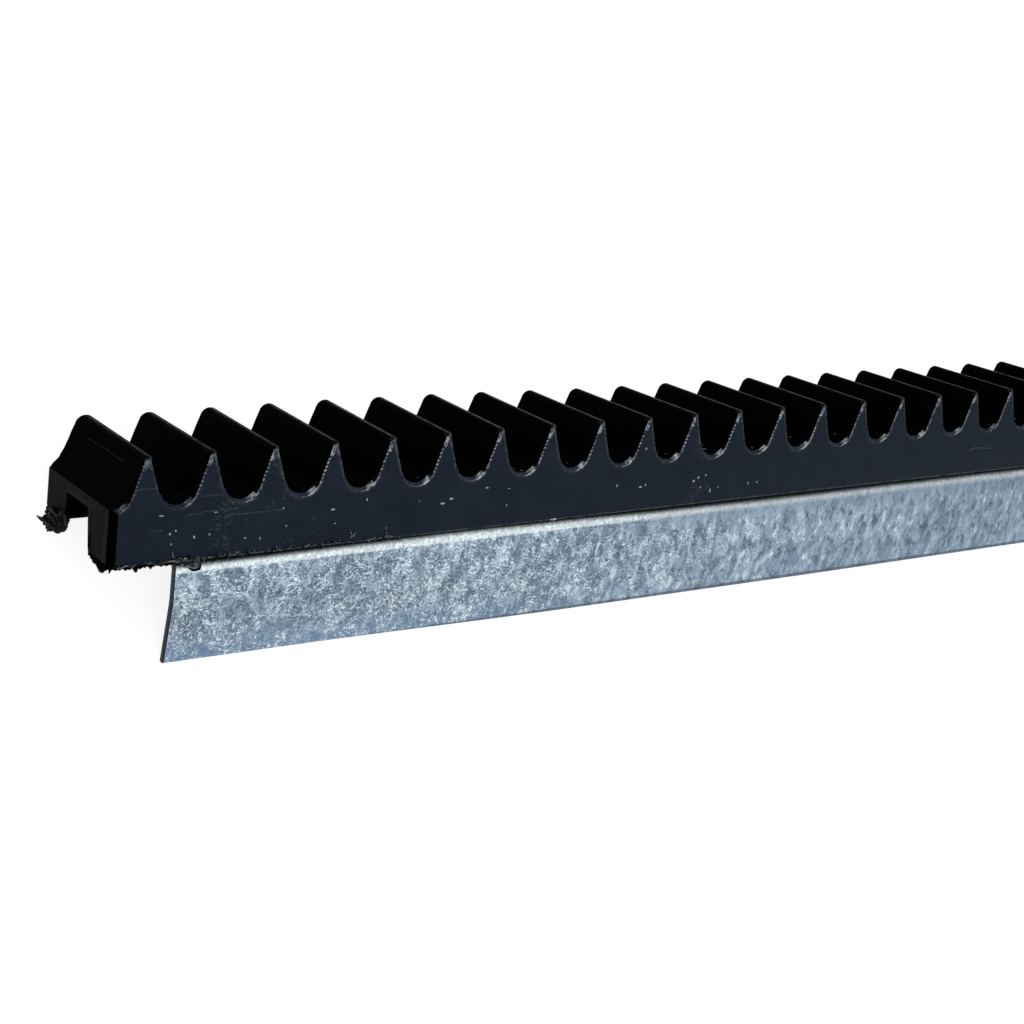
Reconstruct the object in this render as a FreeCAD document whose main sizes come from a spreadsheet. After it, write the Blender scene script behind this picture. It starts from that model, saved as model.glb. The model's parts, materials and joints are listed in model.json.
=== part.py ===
import FreeCAD, Part
import math
import os
import Sketcher

# A length of gear rack for a sliding gate: a moulded plastic bar, toothed on
# top and channelled underneath, on a folded strip of galvanised steel sheet.
# Design frame: X runs along the bar from its left end, Y goes back from the
# front face, and Z is up from the tooth crests. The finished bar leans back on
# the foot of its rear wall and the lower edge of its steel strip.

SIZES = {
    # teeth
    "tooth_count": 80,
    "pitch": 12.566,
    "root_depth": 9.4,
    "flank_angle": 18,
    "crest_flat": 0.4,
    "crest_radius": 0.8,
    # plastic section
    "body_width": 24.7,
    "front_height": 19.5,
    "rear_height": 16,
    "web": 2.1,
    "front_wall": 7.9,
    "rear_wall": 7.5,
    "slot_draft": 0.6,
    "rear_draft": 0.5,
    "corner_cut": 1.2,
    # steel strip
    "sheet": 0.9,
    "leg_drop": 20.1,
    "fold_radius": 1.8,
    "curl_radius": 36,
    "curl_drop": 11.6,
    "inner_fold": 0.4,
    "inner_rise": 5.5,
    "inner_gap": 0.25,
    "setback": 12.9,
}

# how far the cutting profiles reach past the material they cut
OVERCUT = 1.0


def make_sheet(doc):
    """Put every driving size in a spreadsheet cell with its own name."""
    sheet = doc.addObject("Spreadsheet::Sheet", "sizes")
    for row, (name, value) in enumerate(SIZES.items(), start=1):
        sheet.set(f"A{row}", name)
        sheet.set(f"B{row}", str(value))
        sheet.setAlias(f"B{row}", name)
    doc.recompute()
    return sheet


def evaluate(sheet, text):
    """Return the plain number that an expression on the sizes stands for."""
    value = sheet.evalExpression(text)
    return float(getattr(value, "Value", value))


def origin_plane(body, role):
    """Find one of a body's own origin planes."""
    return next(item for item in body.Origin.OriginFeatures if item.Role == role)


def add_sketch(body, name, role):
    sketch = body.newObject("Sketcher::SketchObject", name)
    sketch.AttachmentSupport = (origin_plane(body, role), [""])
    sketch.MapMode = "FlatFace"
    return sketch


def arc_between(start, end, radius, turn):
    """An arc from start to end: turn is +1 anticlockwise, -1 clockwise."""
    middle = (start + end) * 0.5
    chord = end - start
    rise = math.sqrt(max(radius ** 2 - (chord.Length / 2) ** 2, 0))
    across = FreeCAD.Vector(-chord.y, chord.x, 0).normalize()
    centre = middle + across * rise * turn
    first, last = (start, end) if turn > 0 else (end, start)
    angles = [math.atan2(p.y - centre.y, p.x - centre.x) for p in (first, last)]
    if angles[1] < angles[0]:
        angles[1] += 2 * math.pi
    circle = Part.Circle(centre, FreeCAD.Vector(0, 0, 1), radius)
    return Part.ArcOfCircle(circle, angles[0], angles[1])


def draw_profile(sheet, sketch, corners):
    """Draw one closed outline whose corners and radii are bound to the sizes.

    Each corner is (x, y) for a straight edge to the next corner, or
    (x, y, radius, turn) for an arc of less than half a turn to it.
    """
    points = [FreeCAD.Vector(evaluate(sheet, c[0]), evaluate(sheet, c[1]), 0) for c in corners]
    base = sketch.GeometryCount
    ends = []
    for index, corner in enumerate(corners):
        start, end = points[index], points[(index + 1) % len(points)]
        if len(corner) == 2:
            sketch.addGeometry(Part.LineSegment(start, end), False)
            ends.append((1, 2))
            continue
        radius, turn = corner[2:]
        sketch.addGeometry(arc_between(start, end, evaluate(sheet, radius), turn), False)
        ends.append((1, 2) if turn > 0 else (2, 1))
        bind(sketch, Sketcher.Constraint("Radius", base + index, evaluate(sheet, radius)), radius)
    for index, corner in enumerate(corners):
        before = (index - 1) % len(corners)
        here, start_pos, end_pos = base + index, ends[index][0], ends[before][1]
        sketch.addConstraint(Sketcher.Constraint("Coincident", base + before, end_pos, here, start_pos))
        for kind, text, axis in (("DistanceX", corner[0], -2), ("DistanceY", corner[1], -1)):
            if text == "0":
                sketch.addConstraint(Sketcher.Constraint("PointOnObject", here, start_pos, axis))
                continue
            value = evaluate(sheet, text)
            bind(sketch, Sketcher.Constraint(kind, -1, 1, here, start_pos, value), text)


def bind(sketch, constraint, text):
    """Add a constraint and tie its value to an expression on the sizes."""
    number = sketch.addConstraint(constraint)
    sketch.setExpression(f"Constraints[{number}]", text)


def pad(body, name, sketch, length):
    feature = body.newObject("PartDesign::Pad", name)
    feature.Profile = sketch
    feature.Type = "Length"
    feature.setExpression("Length", length)
    return feature


def pocket(body, name, sketch):
    """Cut a profile right through the solid behind its plane."""
    feature = body.newObject("PartDesign::Pocket", name)
    feature.Profile = sketch
    feature.Type = "ThroughAll"
    return feature


BAR_LENGTH = "sizes.tooth_count * sizes.pitch"
SLOT_ROOF = "sizes.root_depth + sizes.web"
REAR_FOOT = "sizes.body_width + sizes.rear_draft"


def make_rack(doc, sheet):
    """The plastic bar: an uneven channel with a row of teeth across its top."""
    body = doc.addObject("PartDesign::Body", "toothed_rack")
    body.Label = "toothed_rack"

    section = add_sketch(body, "channel_section", "YZ_Plane")
    draw_profile(sheet, section, [
        ("0", "0"),
        ("0", "-sizes.front_height"),
        ("sizes.front_wall", "-sizes.front_height"),
        ("sizes.front_wall + sizes.slot_draft", f"-({SLOT_ROOF})"),
        (f"{REAR_FOOT} - sizes.rear_wall - sizes.slot_draft", f"-({SLOT_ROOF})"),
        (f"{REAR_FOOT} - sizes.rear_wall", "-sizes.rear_height"),
        (REAR_FOOT, "-sizes.rear_height"),
        ("sizes.body_width", "0"),
    ])
    pad(body, "channel", section, BAR_LENGTH)

    # One gap between two teeth, centred on the left end: round crests,
    # straight flanks and one full radius at the root.
    angle = "sizes.flank_angle * 1deg"
    half = "(sizes.pitch - sizes.crest_flat) / 2"
    crest_x = f"{half} - sizes.crest_radius * cos({angle})"
    crest_y = f"-sizes.crest_radius * (1 - sin({angle}))"
    root = (f"(({half}) * cos({angle}) - sizes.crest_radius * (1 - sin({angle}))"
            f" - sizes.root_depth * sin({angle})) / (1 - sin({angle}))")
    root_x = f"({root}) * cos({angle})"
    root_y = f"-sizes.root_depth + ({root}) * (1 - sin({angle}))"
    gap = add_sketch(body, "gap_profile", "XZ_Plane")
    draw_profile(sheet, gap, [
        (f"-({half})", str(OVERCUT)),
        (f"-({half})", "0", "sizes.crest_radius", -1),
        (f"-({crest_x})", crest_y),
        (f"-{root_x}", root_y, root, 1),
        ("0", "-sizes.root_depth", root, 1),
        (root_x, root_y),
        (crest_x, crest_y, "sizes.crest_radius", -1),
        (half, "0"),
        (half, str(OVERCUT)),
    ])
    first_gap = pocket(body, "first_gap", gap)
    doc.recompute()
    teeth = body.newObject("PartDesign::LinearPattern", "teeth")
    teeth.Originals = [first_gap]
    teeth.Direction = (section, ["N_Axis"])
    teeth.setExpression("Length", BAR_LENGTH)
    teeth.setExpression("Occurrences", "sizes.tooth_count + 1")
    body.Tip = teeth

    # the two upright front corners are cut off at 45 degrees
    corners = add_sketch(body, "corner_profiles", "XY_Plane")
    draw_profile(sheet, corners, [
        (str(-OVERCUT), f"sizes.corner_cut + {OVERCUT}"),
        (str(-OVERCUT), str(-OVERCUT)),
        (f"sizes.corner_cut + {OVERCUT}", str(-OVERCUT)),
    ])
    draw_profile(sheet, corners, [
        (f"{BAR_LENGTH} - sizes.corner_cut - {OVERCUT}", str(-OVERCUT)),
        (f"{BAR_LENGTH} + {OVERCUT}", str(-OVERCUT)),
        (f"{BAR_LENGTH} + {OVERCUT}", f"sizes.corner_cut + {OVERCUT}"),
    ])
    cut = pocket(body, "corner_cuts", corners)
    body.Tip = cut
    return body


def make_strip(doc, sheet):
    """The steel strip: a leg that hangs from a fold under the front wall.

    Its flange lies under the wall and a short inner leg stands in the slot.
    The lower half of the hanging leg curls in towards the back.
    """
    body = doc.addObject("PartDesign::Body", "steel_strip")
    body.Label = "steel_strip"

    top = "-sizes.front_height"
    fold_y = f"{top} - sizes.fold_radius"
    curl_y = f"{top} - sizes.leg_drop + sizes.curl_drop"
    sweep = "asin(sizes.curl_drop / sizes.curl_radius)"
    lean = "sizes.slot_draft * sizes.inner_rise / (sizes.front_height - sizes.root_depth - sizes.web)"
    inner = f"sizes.front_wall + {lean} + sizes.inner_gap"
    outline = add_sketch(body, "strip_section", "YZ_Plane")
    draw_profile(sheet, outline, [
        ("0", curl_y, "sizes.curl_radius", 1),
        (f"sizes.curl_radius * (1 - cos({sweep}))", f"{top} - sizes.leg_drop"),
        (f"sizes.curl_radius - (sizes.curl_radius - sizes.sheet) * cos({sweep})",
         f"{curl_y} - (sizes.curl_radius - sizes.sheet) * sin({sweep})",
         "sizes.curl_radius - sizes.sheet", -1),
        ("sizes.sheet", curl_y),
        ("sizes.sheet", fold_y, "sizes.fold_radius - sizes.sheet", -1),
        ("sizes.fold_radius", f"{top} - sizes.sheet"),
        (f"{inner} - sizes.inner_fold", f"{top} - sizes.sheet", "sizes.inner_fold + sizes.sheet", 1),
        (f"{inner} + sizes.sheet", f"{top} + sizes.inner_fold"),
        (f"{inner} + sizes.sheet", f"{top} + sizes.inner_rise"),
        (inner, f"{top} + sizes.inner_rise"),
        (inner, f"{top} + sizes.inner_fold", "sizes.inner_fold", -1),
        (f"{inner} - sizes.inner_fold", top),
        ("sizes.fold_radius", top, "sizes.fold_radius", 1),
        ("0", fold_y),
    ])
    outline.setExpression("AttachmentOffset.Base.z", "sizes.setback")
    pad(body, "strip", outline, f"{BAR_LENGTH} - 2 * sizes.setback")
    return body


def lean_back(sheet, bodies):
    """Turn and move both pieces to the way the bar lies by itself on a floor."""
    sweep = math.asin(evaluate(sheet, "sizes.curl_drop / sizes.curl_radius"))
    bend = evaluate(sheet, "sizes.curl_radius")
    inside = bend - evaluate(sheet, "sizes.sheet")
    edge_y = bend - inside * math.cos(sweep)
    edge_z = evaluate(sheet, "-sizes.front_height - sizes.leg_drop + sizes.curl_drop") - inside * math.sin(sweep)
    foot_y = evaluate(sheet, REAR_FOOT)
    foot_z = evaluate(sheet, "-sizes.rear_height")
    tilt = math.degrees(math.atan2(foot_z - edge_z, foot_y - edge_y))
    turn = FreeCAD.Rotation(FreeCAD.Vector(1, 0, 0), -tilt)

    pieces = Part.makeCompound([body.Shape for body in bodies])
    pieces.Placement = FreeCAD.Placement(FreeCAD.Vector(), turn)
    box = pieces.optimalBoundingBox(False, False)
    shift = FreeCAD.Vector(-box.Center.x, -box.Center.y, -box.ZMin)
    for body in bodies:
        body.Placement = FreeCAD.Placement(shift, turn)
    print(f"leans back {tilt:.3f} degrees, moved by {shift.x:.3f} {shift.y:.3f} {shift.z:.3f}")
    print(f"box {box.XLength:.3f} x {box.YLength:.3f} x {box.ZLength:.3f} mm")


def check(doc, bodies):
    """Stop if any feature failed or a piece isn't one sound solid."""
    for item in doc.Objects:
        if {"Invalid", "Error"} & set(item.State):
            raise RuntimeError(f"{item.Name} failed: {item.State}")
    for body in bodies:
        shape = body.Shape
        if shape.isNull() or not shape.isValid() or len(shape.Solids) != 1:
            raise RuntimeError(f"{body.Label} isn't one valid solid")
        print(f"{body.Label}: volume {shape.Volume:.1f} mm3, {len(shape.Faces)} faces")


def main():
    doc = FreeCAD.newDocument("gear_rack")
    sheet = make_sheet(doc)
    bodies = [make_rack(doc, sheet), make_strip(doc, sheet)]
    doc.recompute()
    check(doc, bodies)
    lean_back(sheet, bodies)
    doc.recompute()
    check(doc, bodies)
    os.makedirs("parts", exist_ok=True)
    for body in bodies:
        body.Shape.exportStep(f"parts/{body.Label}.step")


main()
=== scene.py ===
import json
import math
import random

import bmesh
import bpy
from mathutils import Matrix, Vector


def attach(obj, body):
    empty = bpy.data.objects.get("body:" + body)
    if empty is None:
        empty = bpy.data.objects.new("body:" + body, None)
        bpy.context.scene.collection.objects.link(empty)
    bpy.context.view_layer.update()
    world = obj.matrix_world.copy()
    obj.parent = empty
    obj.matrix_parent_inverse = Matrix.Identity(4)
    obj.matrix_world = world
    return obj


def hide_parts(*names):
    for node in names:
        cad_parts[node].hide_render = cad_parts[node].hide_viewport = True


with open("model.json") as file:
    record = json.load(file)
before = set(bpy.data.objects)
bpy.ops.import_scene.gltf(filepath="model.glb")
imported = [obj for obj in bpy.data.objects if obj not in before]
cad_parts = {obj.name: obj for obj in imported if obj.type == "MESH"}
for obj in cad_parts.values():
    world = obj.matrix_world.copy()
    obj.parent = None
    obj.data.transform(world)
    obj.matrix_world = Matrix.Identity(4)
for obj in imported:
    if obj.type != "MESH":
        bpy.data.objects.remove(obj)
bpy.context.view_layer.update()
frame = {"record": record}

# Everything is modelled upright, in millimetres: x along the bar from its left end, y back from the
# front face, z up from the tooth crests. "upright" then leans it back to where the CAD lies.
millimetre = 0.001
rack = {
    "teeth": 80,
    "pitch": 12.566,
    "rootDepth": 9.4,
    "flankAngle": 18,
    "crestFlat": 0.4,
    "crestRadius": 0.8,
    "rearRadius": 1.35,    # the crests are rounder and the teeth fuller at the rear
    "width": 24.7,
    "frontHeight": 19.5,
    "rearHeight": 16.0,
    "rearDraft": 0.5,
    # y and z under the bar, from the foot of the front wall to the foot of the rear wall
    "channel": [(7.9, -19.5), (8.3, -18.4), (9.05, -11.5), (17.35, -11.4), (17.95, -16.5), (25.2, -16.0)],
    "cornerCut": 1.2,
    "rim": 0.7,            # worn edge round the teeth at the front
    "rimStep": 0.22,       # its outer part, which is dotted up the left flanks
    "rearRim": 0.12,
    "faceRing": 0.4,       # edge band of the front face itself, lighter with painted highlight
    "ringY": -1,           # its inner line is drawn out here and moved onto the face later
    # z, how much fuller a flank is there, and how much more on the first flank
    "rearFull": [(-9.4, 0.3), (-7.4, 0.45), (-3.5, 0.36), (-1.0, 0.26), (0, 0)],
    "firstFull": [(-9.4, 1.0), (-8.6, 1.0), (-7.4, 0.5), (-5.7, 0.2), (-3.5, 0.1), (0, 0)],
    "gapKept": 0.3,        # a gap keeps at least this share of its width
    "lipDepth": 19.88,     # a thin lip along the foot of the front face, over the top of the steel
    "lipSheet": 0.45,
    # x, rise of the teeth at the rear
    "twist": [(0, 0.62), (12, 0.62), (18.85, 0.38), (28, 0.55), (58, 0.65), (75, 0.45), (130, -0.45),
              (330, -0.45), (600, 0)],
    "twistFoot": 6.6,      # the twist eases out over this height above the rear wall's foot
    "rootSteps": 10,
    "crestSteps": 4,
    "flankCuts": 17,       # one scallop for every two cuts
    "scallop": 0.07,
    "footBevel": 0.25,
}
barLength = rack["teeth"] * rack["pitch"]

legFace = next(m for m in frame["record"]["mounts"] if m["name"] == "leg_face")
lean = math.atan2(legFace["axis"][2], -legFace["axis"][1])
leanTurn = Matrix.Rotation(-lean, 4, "X")
legFaceZ = -24.6
legPoint = Vector((barLength / 2, 0, legFaceZ)) * millimetre
shift = Vector(legFace["pos_m"]) - leanTurn @ legPoint
upright = Matrix.Translation(shift) @ leanTurn @ Matrix.Scale(millimetre, 4)


def finishPiece(bm, name, materials, node=None):
    bmesh.ops.transform(bm, matrix=upright, verts=bm.verts)
    mesh = bpy.data.meshes.new(name)
    bm.to_mesh(mesh)
    bm.free()
    for material in materials:
        mesh.materials.append(material)
    piece = bpy.data.objects.new(name, mesh)
    bpy.context.scene.collection.objects.link(piece)
    if node:
        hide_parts(node)
    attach(piece, "root")
    print(name, len(mesh.polygons), "faces")


def markSharp(bm, degrees):
    for face in bm.faces:
        face.smooth = True
    for edge in bm.edges:
        edge.smooth = edge.calc_face_angle(0) < math.radians(degrees)


def finishScrap(bm, name, material, sharpFrom):
    # a bit of torn plastic or swarf, which stands for no CAD node
    markSharp(bm, sharpFrom)
    finishPiece(bm, name, [material])


def vertsOf(parts):
    return [part for part in parts if isinstance(part, bmesh.types.BMVert)]


def edgesOf(parts):
    return [part for part in parts if isinstance(part, bmesh.types.BMEdge)]


def setSocket(tree, socket, value):
    if isinstance(value, bpy.types.NodeSocket):
        tree.links.new(value, socket)
    else:
        socket.default_value = value


def addNode(tree, kind, settings=None, **values):
    # a value named in0, in1 and so on goes to the socket of that number
    node = tree.nodes.new("ShaderNode" + kind)
    for name, value in (settings or {}).items():
        setattr(node, name, value)
    for name, value in values.items():
        numbered = name.startswith("in") and name[2:].isdigit()
        setSocket(tree, node.inputs[int(name[2:]) if numbered else name.replace("_", " ")], value)
    return node


def maths(tree, operation, a, b=0.0, clamp=False):
    return addNode(tree, "Math", {"operation": operation, "use_clamp": clamp}, in0=a, in1=b).outputs[0]


def chain(tree, operation, first, *others):
    for other in others:
        first = maths(tree, operation, first, other)
    return first


def times(tree, *values):
    return chain(tree, "MULTIPLY", *values)


def plus(tree, *values):
    return chain(tree, "ADD", *values)


def minus(tree, a, b):
    return maths(tree, "SUBTRACT", a, b)


def largest(tree, *values):
    return chain(tree, "MAXIMUM", *values)


def distance(tree, a, b):
    return maths(tree, "ABSOLUTE", minus(tree, a, b))


def ramp(tree, value, low, high, toLow=0.0, toHigh=1.0):
    settings = {"interpolation_type": "SMOOTHSTEP"}
    return addNode(tree, "MapRange", settings, Value=value, From_Min=low, From_Max=high,
                   To_Min=toLow, To_Max=toHigh).outputs["Result"]


def zone(tree, value, start, full, fading, end):
    # 1 from full to fading, and 0 before the start and past the end
    return times(tree, ramp(tree, value, start, full), ramp(tree, value, end, fading))


def mixColour(tree, factor, a, b, blend="MIX"):
    node = addNode(tree, "Mix", {"data_type": "RGBA", "blend_type": blend}, Factor=factor, in6=a, in7=b)
    return node.outputs[2]


def noise(tree, vector, scale, detail=2.0, roughness=0.5, distortion=0.0):
    return addNode(tree, "TexNoise", Vector=vector, Scale=scale, Detail=detail, Roughness=roughness,
                   Distortion=distortion).outputs[0]


def stretched(tree, vector, scale, turn=(0.0, 0.0, 0.0)):
    return addNode(tree, "Mapping", Vector=vector, Scale=scale, Rotation=turn).outputs[0]


def pushed(tree, vector, by, amount):
    settings = {"operation": "MULTIPLY_ADD"}
    return addNode(tree, "VectorMath", settings, in0=by, in1=(amount,) * 3, in2=vector).outputs[0]


def splitXyz(tree, vector):
    return addNode(tree, "SeparateXYZ", Vector=vector).outputs


def splitColour(tree, colour):
    return addNode(tree, "SeparateColor", Color=colour).outputs


def emptyTree(owner):
    owner.use_nodes = True
    owner.node_tree.nodes.clear()
    return owner.node_tree


def newMaterial(name):
    material = bpy.data.materials.new(name)
    tree = emptyTree(material)
    where = addNode(tree, "TexCoord").outputs["Object"]
    back = leanTurn.inverted() @ (-shift / millimetre)
    inBar = addNode(tree, "Mapping", Vector=where, Location=back, Rotation=(lean, 0, 0),
                    Scale=(1 / millimetre,) * 3).outputs[0]
    return material, tree, inBar


def finishMaterial(material, colour, roughness, bump=None, **sockets):
    # bump is a height, its strength and its depth in millimetres
    tree = material.node_tree
    shader = addNode(tree, "BsdfPrincipled", Base_Color=colour, Roughness=roughness, **sockets)
    if bump:
        height, strength, depth = bump
        normal = addNode(tree, "Bump", Height=height, Strength=strength, Distance=depth * millimetre)
        tree.links.new(normal.outputs[0], shader.inputs["Normal"])
    addNode(tree, "OutputMaterial", Surface=shader.outputs[0])
    return material


def newGroup(name, **numbers):
    # a node group that takes a vector and the named numbers and gives a mask
    tree = bpy.data.node_groups.new(name, "ShaderNodeTree")
    tree.interface.new_socket("Vector", in_out="INPUT", socket_type="NodeSocketVector")
    for label, value in numbers.items():
        socket = tree.interface.new_socket(label, in_out="INPUT", socket_type="NodeSocketFloat")
        socket.default_value = value
    tree.interface.new_socket("Mask", in_out="OUTPUT", socket_type="NodeSocketFloat")
    return tree, tree.nodes.new("NodeGroupInput").outputs, tree.nodes.new("NodeGroupOutput").inputs["Mask"]


def maskOf(tree, group, **values):
    return addNode(tree, "Group", {"node_tree": group}, **values).outputs["Mask"]


def specksGroup():
    # small round pale specks, each of its own size, thinned out by Amount
    tree, source, mask = newGroup("pale specks", Spacing=3.0, Amount=0.3, Size=0.25)
    scale = maths(tree, "DIVIDE", 1.0, source["Spacing"])
    cells = addNode(tree, "TexVoronoi", Vector=source["Vector"], Scale=scale, Randomness=1.0)
    own = splitColour(tree, cells.outputs["Color"])
    kept = maths(tree, "LESS_THAN", own[0], source["Amount"])
    size = times(tree, maths(tree, "DIVIDE", source["Size"], source["Spacing"]),
                 ramp(tree, own[1], 0.0, 1.0, 0.4, 1.0))
    spot = maths(tree, "SUBTRACT", 1.0, maths(tree, "DIVIDE", cells.outputs["Distance"], size), clamp=True)
    tree.links.new(times(tree, spot, kept, own[2]), mask)
    return tree


def scuffsGroup():
    # short pale rubs that run along one direction
    tree, source, mask = newGroup("scuffs", Coverage=0.5)
    fine = noise(tree, stretched(tree, source["Vector"], (0.65, 1.0, 1.7)), 1.3, 3.0, 0.55, 0.5)
    patch = noise(tree, source["Vector"], 0.16, 1.0)
    level = minus(tree, 0.90, times(tree, source["Coverage"], patch))
    tree.links.new(maths(tree, "MULTIPLY", minus(tree, fine, level), 7.0, clamp=True), mask)
    return tree


def scratchGroup():
    # one thin line on the front face, from one x to another at a height that may slope
    tree, source, mask = newGroup("scratch", From=0.0, To=1.0, Height=0.0, Slope=0.0, Width=0.15)
    split = splitXyz(tree, source["Vector"])
    along = minus(tree, split["X"], source["From"])
    line = plus(tree, source["Height"], times(tree, along, source["Slope"]))
    away = maths(tree, "DIVIDE", distance(tree, split["Z"], line), source["Width"])
    near = maths(tree, "SUBTRACT", 1.0, away, clamp=True)
    started = maths(tree, "GREATER_THAN", along, 0.0)
    unended = maths(tree, "LESS_THAN", split["X"], source["To"])
    broken = ramp(tree, noise(tree, source["Vector"], 0.9), 0.35, 0.6, 0.3, 1.0)
    tree.links.new(times(tree, near, started, unended, broken), mask)
    return tree


specks = specksGroup()
scuffs = scuffsGroup()
scratch = scratchGroup()

plasticLook = {
    "skin": (0.0068, 0.0128, 0.0225, 1),
    "skinLight": (0.0105, 0.0175, 0.0285, 1),
    # colour of rubs and scratches, and of the painted tip and lip highlights; also the crumbs' darker grain
    "rubAndSheen": (0.085, 0.10, 0.12, 1),
    # painted highlight colour of the rims, also the crumbs' pale colour
    "shine": (0.52, 0.57, 0.62, 1),
    # from x, to x, z, slope, half width
    "scratches": [(4.1, 8.6, -5.8, 0.0, 0.15), (16.7, 21.3, -8.0, -0.02, 0.15),
                  (21.8, 34.1, -12.0, 0.01, 0.15), (17.5, 24.5, -10.9, 0.0, 0.15),
                  (14.6, 17.4, -11.2, 0.0, 0.15), (7.6, 9.8, -13.6, 0.0, 0.2),
                  (220.0, 223.0, -14.3, 0.25, 0.3), (223.0, 228.7, -13.6, -0.10, 0.2)],
    "rubbedX": [(6.0, 18.0, 30.0, 54.0), (130.0, 133.5, 137.0, 143.0)],  # start, full, fading, end
    "firstFlank": 5.6,               # the flank before this x has scratches: from y, to y, z, slope
    "flankScratches": [(6.0, 12.0, -2.5, 0.08), (12.0, 19.0, -2.02, 0.0), (5.3, 5.8, -2.15, 0.0),
                       (7.3, 8.0, -5.5, 1.4)],
    "lipLine": (-19.62, 0.15),       # z and half width of the painted highlight line along the front wall's lower edge
    # near-black plastic: painted shade on the flanks, roots, slot, channel and corner cuts, and the burrs'
    # colour
    "gap": (0.0004, 0.0005, 0.0007, 1),
    "gapRub": (0.018, 0.020, 0.023, 1),
    # painted highlight colour of the thin line along the crests
    "edge": (0.105, 0.103, 0.10, 1),
    "sawn": (0.0022, 0.0027, 0.0042, 1),
    "sawnLight": (0.016, 0.018, 0.023, 1),
    "torn": (0.0020, 0.0022, 0.0026, 1),
    "tornDark": (0.005, 0.0053, 0.006, 1),
    "tornGrey": (0.030, 0.032, 0.035, 1),
    "tornThin": (0.045, 0.053, 0.060, 1),
    "tornLight": (0.24, 0.26, 0.28, 1),
}


def shineOn(tree):
    return addNode(tree, "Attribute", {"attribute_name": "shine"}).outputs["Fac"]


def skinMaterial():
    material, tree, inBar = newMaterial("moulded black plastic")
    split = splitXyz(tree, inBar)
    cloud = noise(tree, inBar, 0.12, 3.0)
    colour = mixColour(tree, ramp(tree, cloud, 0.35, 0.65), plasticLook["skin"], plasticLook["skinLight"])
    rubbed = largest(tree, *[zone(tree, split["X"], *span) for span in plasticLook["rubbedX"]])
    rubs = maskOf(tree, scuffs, Vector=inBar, Coverage=ramp(tree, rubbed, 0.0, 1.0, 0.34, 0.60))
    dots = maskOf(tree, specks, Vector=inBar, Spacing=2.6, Size=0.22,
                  Amount=ramp(tree, rubbed, 0.0, 1.0, 0.06, 0.22))
    marks = largest(tree, times(tree, rubs, 0.38), dots)
    for fromX, toX, height, slope, wide in plasticLook["scratches"]:
        line = maskOf(tree, scratch, Vector=inBar, From=fromX, To=toX, Height=height, Slope=slope, Width=wide)
        marks = largest(tree, marks, times(tree, line, 0.6))
    # painted highlight at the front tips of the first teeth
    tipHighlights = times(tree, ramp(tree, split["Z"], -2.6, -1.2, 0.0, 0.9), ramp(tree, split["X"], 70.0, 30.0),
                 ramp(tree, noise(tree, inBar, 1.4, 2.0), 0.38, 0.55))
    # painted highlight line along the front wall's lower edge, in patches
    lipHeight, lipWidth = plasticLook["lipLine"]
    lip = maskOf(tree, scratch, Vector=inBar, From=1.0, To=barLength - 1.0, Height=lipHeight, Width=lipWidth)
    patchy = ramp(tree, noise(tree, inBar, 0.25, 3.0, 0.6), 0.38, 0.58, 0.25, 1.0)
    marks = largest(tree, marks, tipHighlights, times(tree, lip, patchy, 1.7))
    # rubs and scratches, with the painted tip and lip highlights, all in one colour
    colour = mixColour(tree, marks, colour, plasticLook["rubAndSheen"])
    # painted highlights on the rims, set by the shine attribute
    streaks = noise(tree, stretched(tree, inBar, (1.0, 3.0, 1.0)), 1.3, 2.0, 0.6)
    glint = times(tree, shineOn(tree), ramp(tree, streaks, 0.42, 0.55, 0.15, 1.3),
                  ramp(tree, split["X"], 4.0, 40.0, 0.35, 1.0),
                  ramp(tree, split["X"], 150.0, 260.0, 1.0, 0.65))
    colour = mixColour(tree, glint, colour, plasticLook["shine"])
    height = plus(tree, noise(tree, inBar, 0.9, 3.0), times(tree, marks, 0.6))
    rough = ramp(tree, cloud, 0.3, 0.7, 0.42, 0.55)
    return finishMaterial(material, colour, rough, (height, 0.25, 0.1), Specular_IOR_Level=0.05)


def gapMaterial():
    # a near-black copy of the moulded plastic, painted shade on the faces turned from the light; the burrs
    # use it too
    material, tree, inBar = newMaterial("dark plastic between the teeth")
    split = splitXyz(tree, inBar)
    rubs = maskOf(tree, scuffs, Vector=stretched(tree, inBar, (1.0, 0.4, 1.0)), Coverage=0.45)
    dots = maskOf(tree, specks, Vector=inBar, Spacing=3.5, Size=0.3, Amount=0.18)
    marks = largest(tree, times(tree, rubs, 0.25), dots)
    colour = mixColour(tree, marks, plasticLook["gap"], plasticLook["gapRub"])
    # painted highlight line along the crests, where the shine attribute is set
    broken = ramp(tree, noise(tree, inBar, 0.5, 2.0), 0.35, 0.55, 0.35, 1.0)
    line = times(tree, shineOn(tree), broken, ramp(tree, split["X"], 10.0, 80.0, 0.45, 1.0))
    colour = mixColour(tree, line, colour, plasticLook["edge"])
    onFlank = addNode(tree, "CombineXYZ", X=split["Y"], Y=split["X"], Z=split["Z"]).outputs[0]
    firstFlank = maths(tree, "LESS_THAN", split["X"], plasticLook["firstFlank"])
    for fromY, toY, level, slope in plasticLook["flankScratches"]:
        mark = maskOf(tree, scratch, Vector=onFlank, From=fromY, To=toY, Height=level, Slope=slope, Width=0.2)
        colour = mixColour(tree, times(tree, mark, firstFlank), colour, plasticLook["gapRub"])
    height = noise(tree, stretched(tree, inBar, (1.0, 0.25, 1.0)), 1.3, 3.0)
    return finishMaterial(material, colour, 0.5, (height, 0.2, 0.1), Specular_IOR_Level=0.003)


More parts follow.
